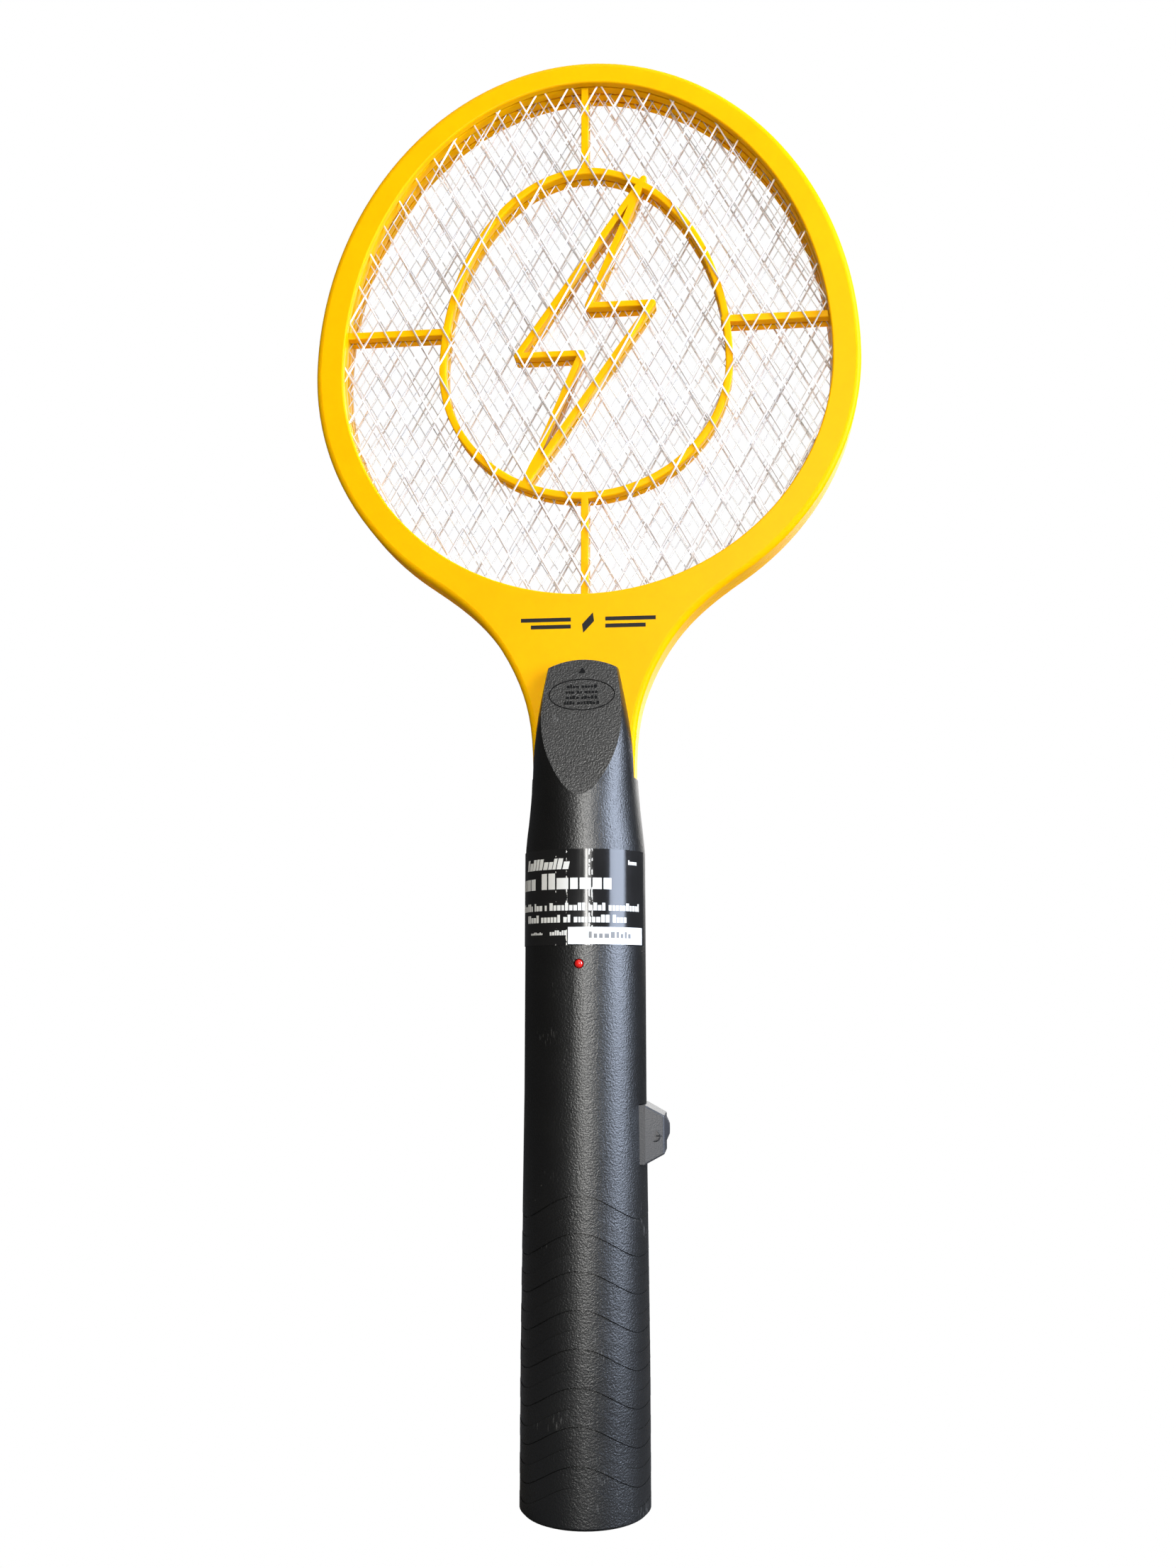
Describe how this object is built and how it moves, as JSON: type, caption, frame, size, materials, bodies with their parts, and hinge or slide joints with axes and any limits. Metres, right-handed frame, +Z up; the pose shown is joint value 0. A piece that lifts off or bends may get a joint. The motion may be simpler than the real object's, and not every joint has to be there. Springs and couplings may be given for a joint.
{
  "type": "electric fly swatter",
  "caption": "Battery fly swatter: egg-shaped racket head with three wire grids behind a lightning-bolt rib, on a round black handle with a side push button and a lamp.",
  "frame": {"origin": "centre of the handle's flat base, which it stands on", "axes": "+Z up the handle to the top of the head, -Y out of the front face with the lamp, +X towards the push button"},
  "size_m": [0.1954, 0.0426, 0.5031],
  "materials": {
    "yellow_plastic": "glossy injection-moulded ABS",
    "black_plastic": "satin, finely grained ABS",
    "button_plastic": "satin ABS",
    "grid_steel": "expanded metal sheet, plated",
    "screw_steel": "zinc plated",
    "spring_steel": "nickel-plated spring wire",
    "contact_metal": "nickel-plated strip",
    "cell_jacket": "printed jacket on a steel can",
    "label_film": "glossy printed film",
    "sticker_paper": "white paper",
    "board_laminate": "green solder resist",
    "ferrite": "sintered ferrite",
    "winding_tape": "polyester tape over the winding",
    "capacitor_coat": "dipped epoxy",
    "component_black": "moulded epoxy",
    "resistor_coat": "lacquered",
    "lamp_red": "clear red epoxy",
    "lead_metal": "tinned wire",
    "wire_red": "PVC insulation",
    "wire_black": "PVC insulation"
  },
  "bodies": {
    "swatter": {"front_frame": "yellow_plastic", "rear_frame": "yellow_plastic", "front_spacer": "yellow_plastic", "rear_spacer": "yellow_plastic", "frame_screws": "screw_steel", "front_guard_grid": "grid_steel", "rear_guard_grid": "grid_steel", "live_grid": "grid_steel", "front_handle": "black_plastic", "rear_handle": "black_plastic", "handle_screws": "screw_steel", "information_label": "label_film", "serial_sticker": "sticker_paper", "switch_board": "board_laminate", "switch_body": "component_black", "lower_battery": "cell_jacket", "upper_battery": "cell_jacket", "spring_plate": "contact_metal", "contact_spring": "spring_steel", "top_contact": "contact_metal", "circuit_board": "board_laminate", "board_screws": "screw_steel", "transformer_core": "ferrite", "transformer_winding": "winding_tape", "storage_capacitor": "capacitor_coat", "small_capacitors": "capacitor_coat", "rectifier_diodes": "component_black", "resistors": "resistor_coat", "transistor": "component_black", "indicator_lamp": "lamp_red", "lamp_leads": "lead_metal", "live_wire": "wire_red", "guard_wires": "wire_black", "battery_wires": "wire_red", "switch_wires": "wire_black"},
    "button": {"push_button": "button_plastic", "switch_plunger": "component_black"},
    "door": {"battery_door": "black_plastic", "door_screw": "screw_steel"}
  },
  "joints": [
    {"name": "button_press", "type": "slide", "parent": "swatter", "child": "button", "axis": [-1, 0, 0], "range_m": [0, 0.0012], "stiffness_N_per_m": 1500},
    {"name": "door_lift", "type": "slide", "parent": "swatter", "child": "door", "axis": [0, 1, 0], "range_m": [0, 0.035]}
  ]
}
